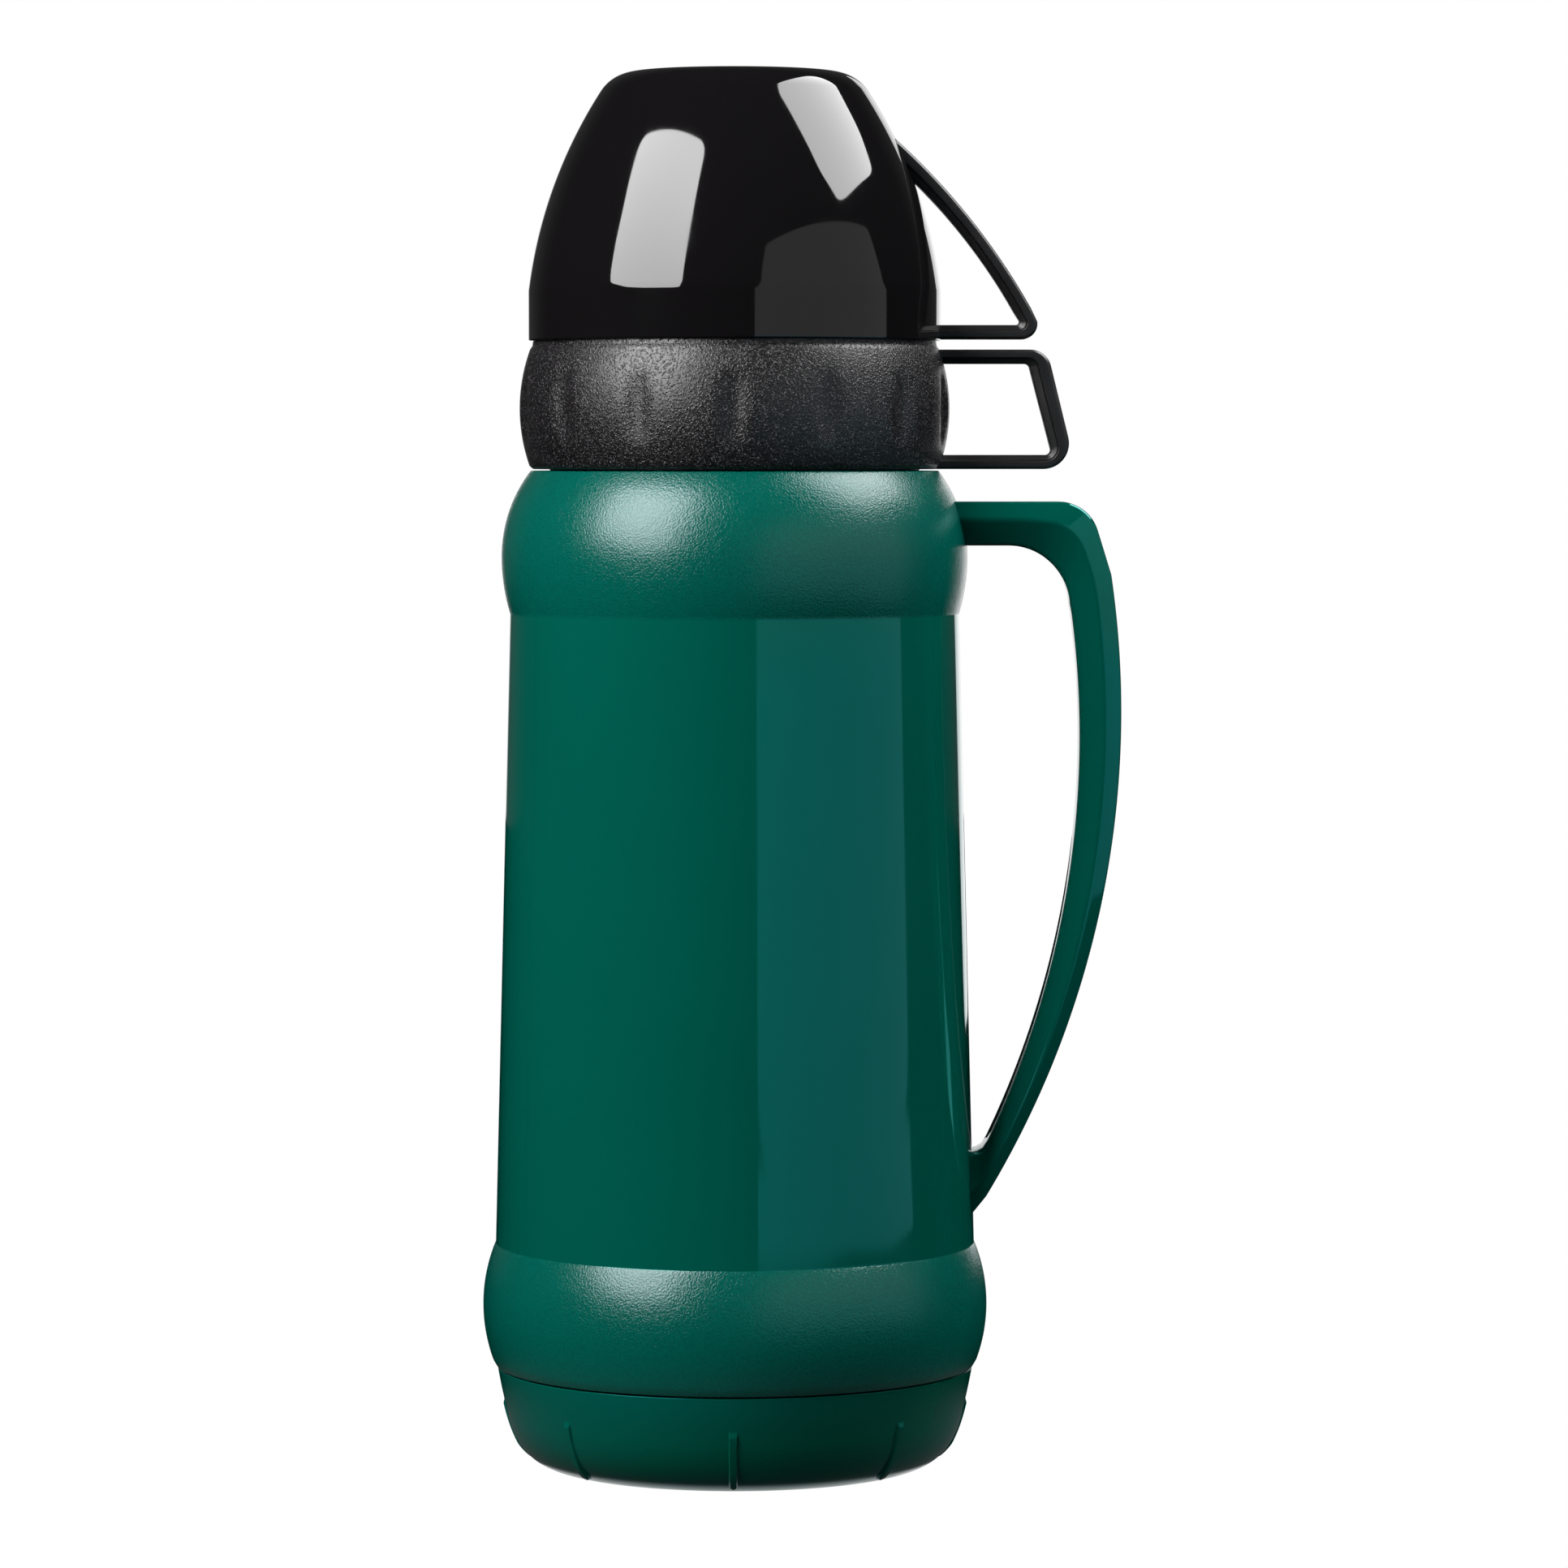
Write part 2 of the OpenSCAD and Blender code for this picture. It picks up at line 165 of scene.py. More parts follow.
def lathe(name, outline, materials, angles=None, shape=None, slot_of=None):
    """Turns a closed outline of (radius, z) about the flask's axis. shape(r, z, angle) gives how far each
    point moves outwards, and slot_of(r, z) the material slot of a face."""
    angles = np.linspace(0, TURN, 192, endpoint=False) if angles is None else np.asarray(angles)
    columns = len(angles)
    outline = np.array(outline, float)
    ahead, behind = np.roll(outline, -1, axis=0), np.roll(outline, 1, axis=0)
    tangent = ahead - behind
    tangent /= np.maximum(np.linalg.norm(tangent, axis=1, keepdims=True), 1e-9)
    area = 0.5 * np.sum(outline[:, 0] * ahead[:, 1] - ahead[:, 0] * outline[:, 1])
    normal = np.stack([tangent[:, 1], -tangent[:, 0]], axis=1) * (1 if area > 0 else -1)
    vertices, first = [], []
    for (r, z), (nr, nz) in zip(outline, normal):
        first.append(len(vertices))
        if r < 1e-6:
            vertices.append((0, 0, z))
            continue
        move = np.zeros(columns) if shape is None else shape(r, z, angles)
        ring_r, ring_z = r + nr * move, z + nz * move
        vertices.extend(zip(ring_r * np.cos(angles), ring_r * np.sin(angles), ring_z + 0 * angles))
    faces, slots = [], []
    for i in range(len(outline)):
        k = (i + 1) % len(outline)
        a, b = first[i], first[k]
        a_point, b_point = outline[i][0] < 1e-6, outline[k][0] < 1e-6
        if a_point and b_point:
            continue
        slot = 0 if slot_of is None else slot_of(*(outline[i] + outline[k]) / 2)
        for j in range(columns):
            n = (j + 1) % columns
            if a_point:
                faces.append((a, b + j, b + n))
            elif b_point:
                faces.append((a + j, b, a + n))
            else:
                faces.append((a + j, b + j, b + n, a + n))
            slots.append(slot)
    return make_object(name, vertices, faces, materials, slots)


def sweep(name, sections, materials, slot=0):
    """A closed bar through sections, each a list of the same number of (x, y, z) points."""
    sections = np.array(sections, float)
    rows, columns = sections.shape[:2]
    faces = []
    for i in range(rows - 1):
        for j in range(columns):
            n = (j + 1) % columns
            faces.append((i * columns + j, i * columns + n, (i + 1) * columns + n, (i + 1) * columns + j))
    faces.append(tuple(range(columns)))
    faces.append(tuple((rows - 1) * columns + j for j in range(columns)))
    return make_object(name, sections.reshape(-1, 3), faces, materials, [slot] * len(faces))


def combine(target, other, operation):
    """Joins other to target, or cuts it away, and removes other."""
    modifier = target.modifiers.new("combine", "BOOLEAN")
    modifier.operation = operation
    modifier.solver = "EXACT"
    modifier.object = other
    bpy.context.view_layer.update()
    evaluated = target.evaluated_get(bpy.context.evaluated_depsgraph_get())
    mesh = bpy.data.meshes.new_from_object(evaluated)
    target.modifiers.clear()
    old = target.data
    target.data = mesh
    bpy.data.meshes.remove(old)
    bpy.data.objects.remove(other)
    finish_mesh(target)
    return target


THREAD_REACH = 0.4


def helix(z0, pitch, turns, height, wall_r):
    """A shape for lathe: a screw thread of trapezoid section on the wall of radius wall_r, from height z0
    up. Points up to THREAD_REACH from that radius, such as a rounded edge's, carry it too."""

    def shape(r, z, angles):
        if abs(r - wall_r) > THREAD_REACH:
            return 0 * angles
        best = 0 * angles
        for k in range(-1, int(turns) + 2):
            along = k + angles / TURN
            centre = z0 + along * pitch
            rise = np.clip((0.36 * pitch - np.abs(z - centre)) / (0.2 * pitch), 0, 1)
            fade = np.clip(np.minimum(along, turns - along) * 8, 0, 1)
            best = np.maximum(best, rise * fade)
        return height * best

    return shape


# -------------------------------------------------------------------- materials


def socket(node, name):
    """A node's input by name."""
    return node.inputs[name]


def ramp(tree, value, low, high, to_low, to_high, smooth=True):
    """Maps value from low..high to to_low..to_high in a node tree, and returns the result's socket."""
    ranged = tree.nodes.new("ShaderNodeMapRange")
    if smooth:
        ranged.interpolation_type = "SMOOTHSTEP"
    tree.links.new(value, socket(ranged, "Value"))
    for key, number in (("From Min", low), ("From Max", high), ("To Min", to_low), ("To Max", to_high)):
        socket(ranged, key).default_value = number
    return ranged.outputs["Result"]


class Paint:
    """A Principled material with helpers for procedural detail."""

    def __init__(self, name, colour, roughness, **settings):
        self.material = bpy.data.materials.new(name)
        self.material.use_nodes = True
        self.tree = self.material.node_tree
        self.shader = self.tree.nodes["Principled BSDF"]
        socket(self.shader, "Base Color").default_value = (*colour, 1)
        socket(self.shader, "Roughness").default_value = roughness
        for key, value in settings.items():
            socket(self.shader, key.replace("_", " ").title().replace("Ior", "IOR")).default_value = value
        self.colour = colour
        self.place = self.node("ShaderNodeTexCoord").outputs["Object"]
        self.height = None

    def node(self, kind, **values):
        new = self.tree.nodes.new(kind)
        for key, value in values.items():
            setattr(new, key, value)
        return new

    def link(self, output, target):
        self.tree.links.new(output, target)

    def noise(self, scale, detail=2.0, rough=0.5, stretch=(1, 1, 1)):
        """Noise in the object's own coordinates, scale grains to the metre."""
        mapping = self.node("ShaderNodeMapping")
        socket(mapping, "Scale").default_value = stretch
        self.link(self.place, socket(mapping, "Vector"))
        texture = self.node("ShaderNodeTexNoise")
        socket(texture, "Scale").default_value = scale
        socket(texture, "Detail").default_value = detail
        socket(texture, "Roughness").default_value = rough
        self.link(mapping.outputs["Vector"], socket(texture, "Vector"))
        return texture.outputs["Fac"]

    def spread(self, value, low, high, to_low, to_high, smooth=False):
        """Maps value from low..high to to_low..to_high."""
        return ramp(self.tree, value, low, high, to_low, to_high, smooth)

    def vary_roughness(self, value, low, high):
        """Lets the roughness follow a noise from low to high."""
        self.link(self.spread(value, 0.3, 0.7, low, high), socket(self.shader, "Roughness"))

    def blend(self, first, second, share):
        """Makes the base colour go from first to second as share goes from 0 to 1."""
        mix = self.node("ShaderNodeMix", data_type="RGBA")
        mix.inputs[6].default_value = (*first, 1)
        mix.inputs[7].default_value = (*second, 1)
        self.link(share, mix.inputs[0])
        self.link(mix.outputs[2], socket(self.shader, "Base Color"))

    def vary_colour(self, value, dark, light):
        """Blends the base colour from dark to light times itself."""
        first, second = ([c * factor for c in self.colour] for factor in (dark, light))
        self.blend(first, second, self.spread(value, 0.3, 0.7, 0, 1))

    def bump(self, value, depth):
        """Adds relief of depth millimetres."""
        bump = self.node("ShaderNodeBump")
        socket(bump, "Strength").default_value = 1
        socket(bump, "Distance").default_value = depth * MM
        self.link(value, socket(bump, "Height"))
        if self.height is not None:
            self.link(self.height, socket(bump, "Normal"))
        self.height = bump.outputs["Normal"]
        self.link(self.height, socket(self.shader, "Normal"))


GREEN = (0.0002, 0.0665, 0.0475)
STIPPLE_GREEN = (0.0002, 0.071, 0.0535)
BASE_GREEN = (0.0002, 0.066, 0.050)
BLACK = (0.0040, 0.0036, 0.0040)


def stippled(name, colour, roughness, grain, depth, contrast=0.14, **settings):
    """Moulded plastic with a stippled tool finish: grain is the size of the stipple in millimetres."""
    paint = Paint(name, colour, roughness, **settings)
    fine = paint.noise(1 / (grain * MM), 2.0, 0.5)
    crisp = paint.spread(fine, 0.32, 0.68, 0, 1, smooth=True)
    paint.bump(crisp, depth)
    paint.bump(paint.noise(150, 2.0), 0.02)
    paint.vary_colour(fine, 1 - contrast, 1 + contrast)
    paint.vary_roughness(paint.noise(1.1 / (grain * MM), 2.0), roughness - 0.06, roughness + 0.10)
    return paint.material


def sparkling(name, colour, roughness, grain, depth, glint_lift):
    """Coarse stipple whose tips catch the light, with painted glints: specks many times lighter than the
    colour are painted among the grains.
    """
    paint = Paint(name, colour, roughness)
    cells = paint.node("ShaderNodeTexVoronoi")
    socket(cells, "Scale").default_value = 1 / (grain * MM)
    warped = paint.node("ShaderNodeMix", data_type="VECTOR")
    warped.inputs[0].default_value = 0.0012
    paint.link(paint.place, warped.inputs[4])
    swirl = paint.node("ShaderNodeTexNoise")
    socket(swirl, "Scale").default_value = 0.6 / (grain * MM)
    paint.link(paint.place, socket(swirl, "Vector"))
    paint.link(swirl.outputs["Color"], warped.inputs[5])
    paint.link(warped.outputs[1], socket(cells, "Vector"))
    tips = paint.spread(cells.outputs["Distance"], 0.1, 0.6, 1, 0, smooth=True)
    paint.bump(tips, depth)
    # Painted glints: bright specks painted into the base colour stand in for the sparkle of light off the
    # stipple.
    painted_glints = paint.spread(paint.noise(1.5 / (grain * MM), 1.0, 0.5), 0.58, 0.72, 0, 1, smooth=True)
    paint.blend([c * 0.6 for c in colour], [c * glint_lift for c in colour], painted_glints)
    paint.vary_roughness(paint.noise(1.3 / (grain * MM), 2.0), roughness - 0.09, roughness + 0.1)
    return paint.material


def glossy(name, colour, roughness, wave=0.02, **settings):
    """Polished moulding: faint waviness, and gloss that is cloudy from handling."""
    paint = Paint(name, colour, roughness, **settings)
    paint.bump(paint.noise(38, 2.0), wave)
    cloud = paint.noise(55, 5.0, 0.65)
    paint.vary_roughness(cloud, max(0.02, roughness - 0.02), roughness + 0.03)
    paint.vary_colour(paint.noise(25, 3.0), 0.97, 1.03)
    return paint.material


def plain(name, colour, roughness, grain=600, depth=0.02, **settings):
    """Satin plastic, rubber or foam with a fine surface."""
    paint = Paint(name, colour, roughness, **settings)
    texture = paint.noise(grain, 3.0)
    paint.bump(texture, depth)
    paint.vary_roughness(paint.noise(90, 4.0), roughness - 0.05, roughness + 0.07)
    paint.vary_colour(texture, 0.92, 1.08)
    return paint.material


def clouded(name, colour, other, roughness, **settings):
    """Satin plastic whose colour drifts a little over the piece."""
    paint = Paint(name, colour, roughness, **settings)
    paint.bump(paint.noise(900, 3.0), 0.012)
    paint.vary_roughness(paint.noise(90, 4.0), roughness - 0.04, roughness + 0.06)
    drift = paint.noise(9, 0.0, 0.5, stretch=(1, 1, 3))
    paint.blend(colour, other, paint.spread(drift, 0.3, 0.7, 0, 1, smooth=True))
    return paint.material


GREEN_GLINT = (0.2, 1.0, 1.0, 1)

sleeve_green = glossy("sleeve_green", GREEN, 0.05, specular_tint=GREEN_GLINT, ior=1.6)
stipple_green = stippled("stipple_green", STIPPLE_GREEN, 0.15, grain=0.5, depth=0.036,
                         specular_tint=(0.80, 0.92, 0.95, 1))
inside_green = plain("inside_green", GREEN, 0.4)
base_green = clouded("base_green", BASE_GREEN, (0.0002, 0.050, 0.030), 0.16,
                     specular_tint=(0.03, 0.5, 0.6, 1))
cup_black = glossy("cup_black", BLACK, 0.04)
band_black = sparkling("band_black", (0.0045, 0.0041, 0.0045), 0.36, grain=0.62, depth=0.075, glint_lift=20)
satin_black = plain("satin_black", (0.0095, 0.0088, 0.0094), 0.35)
rubber_black = plain("rubber_black", (0.012, 0.012, 0.011), 0.62, grain=1500)
stopper_grey = plain("stopper_grey", (0.16, 0.17, 0.17), 0.4)
silicone_white = plain("silicone_white", (0.5, 0.53, 0.51), 0.45, subsurface_weight=0.2)
foam_cream = plain("foam_cream", (0.7, 0.64, 0.5), 0.9, grain=1300, depth=0.2)
felt_tan = plain("felt_tan", (0.45, 0.38, 0.27), 0.95, grain=2500, depth=0.15)
silvered = glossy("silvered_glass", (0.82, 0.85, 0.87), 0.14, wave=0.03, metallic=1.0, coat_weight=1.0)


# ----------------------------------------------------------------------- casing

casing_low, casing_high = size("casing")
casing_top = casing_high.z
seam_z = casing_low.z
bulge_r = -casing_low.y

SHOULDER_R, SHOULDER_Z = 60.9, 238.0
SHOULDER_UP_R, SHOULDER_DOWN_R = 37.0, 51.0
STEP_Z = 223.2
SLEEVE_TOP_R, SLEEVE_LOW_R = 58.8, 62.8
LEDGE_Z = 58.3
BULGE_Z, BULGE_ARC_R = 42.0, 42.0
WALL = 2.6
MOUTH_R = 44.0
SKIRT_ROOM_R = 60.2
SEAM_R, SEAM_EDGE_R = 62.75, 61.9

casing_paints = [sleeve_green, stipple_green, inside_green]


def casing_outer():
    """Outline of the casing's outside as a solid."""
    up = math.degrees(math.asin((casing_top - SHOULDER_Z) / SHOULDER_UP_R))
    down = math.degrees(math.asin((SHOULDER_Z - STEP_Z) / SHOULDER_DOWN_R))
    bulge_up = math.degrees(math.asin((LEDGE_Z - 0.4 - BULGE_Z) / BULGE_ARC_R))
    bulge_down = math.degrees(math.asin((BULGE_Z - seam_z - 1.8) / BULGE_ARC_R))
    shoulder = arc((SHOULDER_R - SHOULDER_UP_R, SHOULDER_Z), SHOULDER_UP_R, up, 0, 28)
    shoulder[0] = (*shoulder[0], 0.7)
    under = arc((SHOULDER_R - SHOULDER_DOWN_R, SHOULDER_Z), SHOULDER_DOWN_R, -1.5, -down, 18)
    bulge = arc((bulge_r - BULGE_ARC_R, BULGE_Z), BULGE_ARC_R, bulge_up, -bulge_down, 36)
    return rounded(
        [(0, casing_top)] + shoulder + under + [(SLEEVE_LOW_R, LEDGE_Z, 0.2)]
        + bulge + [(SEAM_R, seam_z + 0.2, 0.5), (SEAM_EDGE_R, seam_z), (0, seam_z)]
    )


def casing_inner():
    """Outline of the hollow inside the casing."""
    up = math.degrees(math.asin((casing_top - WALL - SHOULDER_Z) / (SHOULDER_UP_R - WALL)))
    return rounded(
        [(0, casing_top + 1), (MOUTH_R, casing_top + 1), (MOUTH_R, casing_top - WALL)]
        + arc((SHOULDER_R - SHOULDER_UP_R, SHOULDER_Z), SHOULDER_UP_R - WALL, up, 0, 12)
        + [(SLEEVE_TOP_R - WALL + 0.2, STEP_Z - 2, 2), (SKIRT_ROOM_R, LEDGE_Z, 2),
           (SKIRT_ROOM_R, seam_z - 1), (0, seam_z - 1)]
    )


def casing_slot(r, z):
    """Gloss on the sleeve, stipple on the two bulges."""
    return 0 if LEDGE_Z - 0.1 <= z <= STEP_Z - 0.05 else 1


ARM_TOP = 252.5
ARM_H = 11.5
CORNER_R = 10.5
CORNER = (84.5, ARM_TOP - CORNER_R)
CORNER_END = 16
KNEE = (98.1, 233.5)
CROOK_R = 16.0
CROOK = (71.4, ARM_TOP - ARM_H - CROOK_R)
GRIP_R = 245.0
GRIP_OUT = (100.8 - GRIP_R, 197.2)
GRIP_IN = (90.0 - GRIP_R, 190.9)
GRIP_IN_TOP = 225.9
GRIP_DEPTH = 11.8


def along(points, count):
    """count points spaced evenly along a polyline."""
    points = np.array(points, float)
    lengths = np.concatenate([[0], np.cumsum(np.linalg.norm(np.diff(points, axis=0), axis=1))])
    stops = np.linspace(0, lengths[-1], count)
    return np.stack([np.interp(stops, lengths, points[:, i]) for i in (0, 1)], axis=1)


def on_arc(centre, radius, z):
    """The point at height z on the right side of a circle."""
    return centre[0] + math.sqrt(radius**2 - (z - centre[1]) ** 2), z


def handle_pairs():
    """Pairs of points on the handle's outer and inner side, from the shoulder to the sleeve."""
    arm = [((x, ARM_TOP), (x, ARM_TOP - ARM_H)) for x in np.linspace(50, CROOK[0], 12)]
    outer = along([(CROOK[0], ARM_TOP), *arc(CORNER, CORNER_R, 90, CORNER_END, 16), KNEE], 34)
    inner = arc(CROOK, CROOK_R, 90, 3, 33)
    bend = list(zip(map(tuple, outer), inner))[1:]
    grip = [
        (on_arc(GRIP_OUT, GRIP_R, a), on_arc(GRIP_IN, GRIP_R, b))
        for a, b in zip(np.linspace(KNEE[1], 71, 61)[1:], np.linspace(GRIP_IN_TOP, 85.5, 61)[1:])
    ]
    tail = [
        ((64.1, 68.9), (64.9, 83.5)), ((62.9, 67.4), (63.4, 82.6)), ((60.8, 65), (61.2, 82.2)),
        ((57, 61), (57, 82.1)),
    ]
    return arm + bend + grip + tail


def grip_section(thickness, depth):
    """The grip's section: (distance from its outer side, distance from the middle plane)."""
    ridge = 0.40 * thickness
    half = [(0, 0.80 * depth, 1.3), (ridge, depth, 1.8), (thickness, 0.60 * depth, 2.6)]
    mirrored = [(x, -y, radius) for x, y, radius in reversed(half)]
    return rounded(half + mirrored, steps=7)


def bar_sections(pairs, section, depth):
    """Sections of a bar in space for sweep."""
    result = []
    for a, b in pairs:
        a, b = np.array(a, float), np.array(b, float)
        thickness = np.linalg.norm(b - a)
        way = (b - a) / thickness
        result.append([(a[0] + way[0] * x, y, a[1] + way[1] * x) for x, y in section(thickness, depth)])
    return result


def build_casing():
    """The green moulding: sleeve, bulges and handle in one, hollow inside."""
    casing = lathe("casing_shell", firm(casing_outer()), casing_paints, slot_of=casing_slot)
    handle = sweep("handle", bar_sections(handle_pairs(), grip_section, GRIP_DEPTH), casing_paints, 0)
    combine(casing, handle, "UNION")
    hollow = lathe("hollow", firm(casing_inner()), casing_paints, slot_of=lambda r, z: 2)
    combine(casing, hollow, "DIFFERENCE")
    return casing


# --------------------------------------------------------------------- base cap

FOOT_R = 49.3
RIB_COUNT = 8
RIB_HALF = 1.1
RIB_LOW, RIB_HIGH, RIB_PROUD = 1.4, 16.8, 0.85
SKIRT_R, SKIRT_IN_R = 58.9, 55.8
GROOVE_LOW, GROOVE_HIGH = 27.9, 30.1
BASE_WALL = 2.6
SIDE_TOP, SIDE_TOP_R = seam_z - 0.3, 62.4


def close_angles(count, reach, coarse, fine):
    """Angles round the axis, coarse degrees apart, but fine degrees apart within reach of each of count
    evenly placed features."""
    offsets = np.concatenate([-np.arange(fine, reach, fine)[::-1], np.arange(0, reach, fine)])
    marks = [(360 * i / count + offsets) % 360 for i in range(count)]
    near = np.concatenate(marks)
    far = [a for a in np.arange(0, 360, coarse) if np.min(np.abs((near - a + 180) % 360 - 180)) > coarse / 3]
    return np.radians(np.unique(np.round(np.concatenate([near, far]), 4)))


def wall_line():
    """The base cap's side, from its foot to the seam."""
    low = bezier([(FOOT_R, 0), (55.4, 1.6), (58.6, 7.2), (60.0, 14)], 44)
    return low + bezier([(60.0, 14), (60.7, 17.2), (61.7, 21.2), (SIDE_TOP_R, SIDE_TOP)], 26)[1:]


def rib_shape(r, z, angles):
    """Raised ribs down the side of the base cap: flush with the wall at the top, rounded at the foot."""
    if r < FOOT_R - 1 or not RIB_LOW < z < RIB_HIGH:
        return 0 * angles
    line = bezier([(54.4, RIB_LOW), (57.6, 5), (59.6, 10.5), (60.9, RIB_HIGH)], 40)
    proud = np.interp(z, [q[1] for q in line], [q[0] for q in line]) - r + 0.35
    proud = min(proud, RIB_PROUD) * min(1, (RIB_HIGH - z) / 1.2)
    turn = (np.degrees(angles) + 90 + 180 / RIB_COUNT) % (360 / RIB_COUNT) - 180 / RIB_COUNT
    across = np.radians(turn) * r / RIB_HALF
    beyond = max(0, RIB_LOW + RIB_HALF - z) / RIB_HALF
    distance = np.sqrt(across**2 + beyond**2)
    return max(0, proud) * np.clip((1.06 - distance) / 0.30, 0, 1) ** 0.5


def build_base_cap():
    """The screw-on base: ribbed side, and inside the casing a threaded skirt with the seal's groove."""
    thread = helix(33, pitch=3, turns=1.5, height=0.8, wall_r=SKIRT_R)

    def shape(r, z, angles):
        return rib_shape(r, z, angles) + thread(r, z, angles)

    skirt_top = seam_z + 14
    groove_r = SKIRT_R - 1.5
    outline = rounded(
        [(0, 0)] + wall_line()[:-1]
        + [(SIDE_TOP_R, SIDE_TOP, 0.4), (SKIRT_R, SIDE_TOP), (SKIRT_R, GROOVE_LOW), (groove_r, GROOVE_LOW),
           (groove_r, GROOVE_HIGH), (SKIRT_R, GROOVE_HIGH), (SKIRT_R, skirt_top, 0.6),
           (SKIRT_IN_R, skirt_top, 0.6)]
        + bezier([(SKIRT_IN_R, 15), (54.6, 8), (52.5, 4), (FOOT_R - 1, BASE_WALL)], 12)
        + [(0, BASE_WALL)]
    )
    angles = close_angles(RIB_COUNT, reach=1.6, coarse=2.5, fine=0.08)
    return lathe("base_cap_shell", firm(outline, fine=[SKIRT_R]), [base_green], angles, shape)


# ------------------------------------------------------------------------- cups

outer_low, outer_high = size("outer_cup")
inner_low, inner_high = size("inner_cup")
CUP_R = outer_high.y
CUP_TOP = outer_high.z
CUP_RIM = outer_low.z
CUP_WALL = 2.1
DOME_R, DOME_FROM, DOME_TO = 123.0, 7.0, 33.0
TOP_CORNER_R = 11.0
NEST_GAP = 0.7
BAND_LOW, BAND_HIGH = inner_low.z, 292.9
BAND_R, BAND_Z, BAND_ARC_R = inner_high.y, 276.6, 45.0
SCOOPS = 14
SCOOP_R, SCOOP_DEPTH = 8.0, 1.2
SCOOPED_FROM_R, BAND_EDGE_R, CUP_THREAD_R = 52, 52.6, 51.4


def dome(gap):
    """Outline of a cup's dome, drawn inwards by gap, from its rim to the axis."""
    start, end = math.radians(DOME_FROM), math.radians(DOME_TO)
    corner_z = CUP_TOP - TOP_CORNER_R
    centre = (CUP_R - DOME_R * math.cos(start), corner_z - (DOME_R - TOP_CORNER_R) * math.sin(end))
    corner = (centre[0] + (DOME_R - TOP_CORNER_R) * math.cos(end), corner_z)
    return (
        arc(centre, DOME_R - gap, DOME_FROM, DOME_TO, 40)
        + arc(corner, TOP_CORNER_R - gap, DOME_TO + 2, 90, 24)
        + [(0, CUP_TOP - gap)]
    )


def strap_section(thickness, depth):
    """Section of a finger loop: flat sides, then a small step down to a sloping inner side."""
    half = [(0, 0.84 * depth, 0.5), (0.12 * thickness, depth, 0.5), (0.56 * thickness, depth, 0.3),
            (0.64 * thickness, 0.84 * depth, 0.25), (0.97 * thickness, 0.70 * depth, 0.4),
            (thickness, 0.52 * depth, 0.2)]
    mirrored = [(x, -y, radius) for x, y, radius in reversed(half)]
    return rounded(half + mirrored, steps=4)


LOOP_DEPTH = 5.0
BAR_H = 3.7
OUTER_BAR_Z = 294.7
STRAP_OUT, STRAP_OUT_R = (-75, 216.6), 174.9
STRAP_IN, STRAP_IN_R = (-57.2, 228.4), 149.2
STRAP_FROM, STRAP_TO = 50, 29.5
LOOP_LOW, LOOP_HIGH = 260.9, 292.0
LEAN = 13.5


def outer_loop_pairs():
    """Pairs of points on the outer cup's loop, outside and inside: slanting strap, corner and bar."""
    strap = list(zip(
        arc(STRAP_OUT, STRAP_OUT_R, STRAP_FROM, STRAP_TO, 40),
        arc(STRAP_IN, STRAP_IN_R, STRAP_FROM, STRAP_TO, 40),
    ))
    corner = list(zip(
        arc((74.9, OUTER_BAR_Z + 4), 4, 8, -90, 12),
        arc((73.3, OUTER_BAR_Z + BAR_H + 0.9), 0.9, 8, -90, 12),
    ))
    bar = [((x, OUTER_BAR_Z), (x, OUTER_BAR_Z + BAR_H)) for x in np.linspace(72, 50, 12)]
    return strap + corner + bar


def inner_loop_pairs():
    """Pairs of points on the inner cup's loop: upper bar, leaning strap and lower bar."""
    high, low = LOOP_HIGH, LOOP_LOW
    upper = [((x, high), (x, high - BAR_H)) for x in np.linspace(48, 74, 12)]
    corner_a = list(zip(
        arc((77.1, high - 5.5), 5.5, 90, LEAN, 10),
        arc((75.6, high - BAR_H - 1.3), 1.3, 90, LEAN, 10),
    ))
    corner_b = list(zip(
        arc((80.5, low + 6.7), 6.7, LEAN, -90, 14),
        arc((81.1, low + BAR_H + 1.3), 1.3, LEAN, -90, 14),
    ))
    lower = [((x, low), (x, low + BAR_H)) for x in np.linspace(79, 48, 14)]
    a, b = np.array(corner_a[-1]), np.array(corner_b[0])
    strap = [tuple(map(tuple, a + (b - a) * t)) for t in np.linspace(0, 1, 12)[1:-1]]
    return upper + corner_a + strap + corner_b + lower


def build_outer_cup():
    """The gloss cup with its finger loop."""
    solid = rounded([(0, CUP_RIM), (CUP_R, CUP_RIM, 0.45)] + dome(0))
    paints = [cup_black, satin_black]
    cup = lathe("outer_cup_shell", firm(solid), paints)
    loop = sweep("loop", bar_sections(outer_loop_pairs(), strap_section, LOOP_DEPTH), paints, 1)
    combine(cup, loop, "UNION")
    hollow = [(0, CUP_RIM - 1), (CUP_R - CUP_WALL, CUP_RIM - 1)] + dome(CUP_WALL)
    combine(cup, lathe("hollow", firm(hollow), [cup_black]), "DIFFERENCE")
    return cup


def scoop_shape(r, z, angles):
    """Shallow upright scoops round the band, each part of an upright cylinder."""
    if r < SCOOPED_FROM_R or z > BAND_HIGH - 0.5:
        return 0 * angles
    turn = (np.degrees(angles) + 90 + 180 / SCOOPS) % (360 / SCOOPS) - 180 / SCOOPS
    turn = np.radians(turn)
    centre = BAND_R - SCOOP_DEPTH + SCOOP_R
    inside = SCOOP_R**2 - (centre * np.sin(turn)) ** 2
    near = centre * np.cos(turn) - np.sqrt(np.maximum(inside, 0))
    cut = np.where(inside > 0, r - near, -1)
    soft = 0.06
    return -0.5 * (cut + np.sqrt(cut**2 + soft**2)) + 0.5 * (-1 + math.sqrt(1 + soft**2))


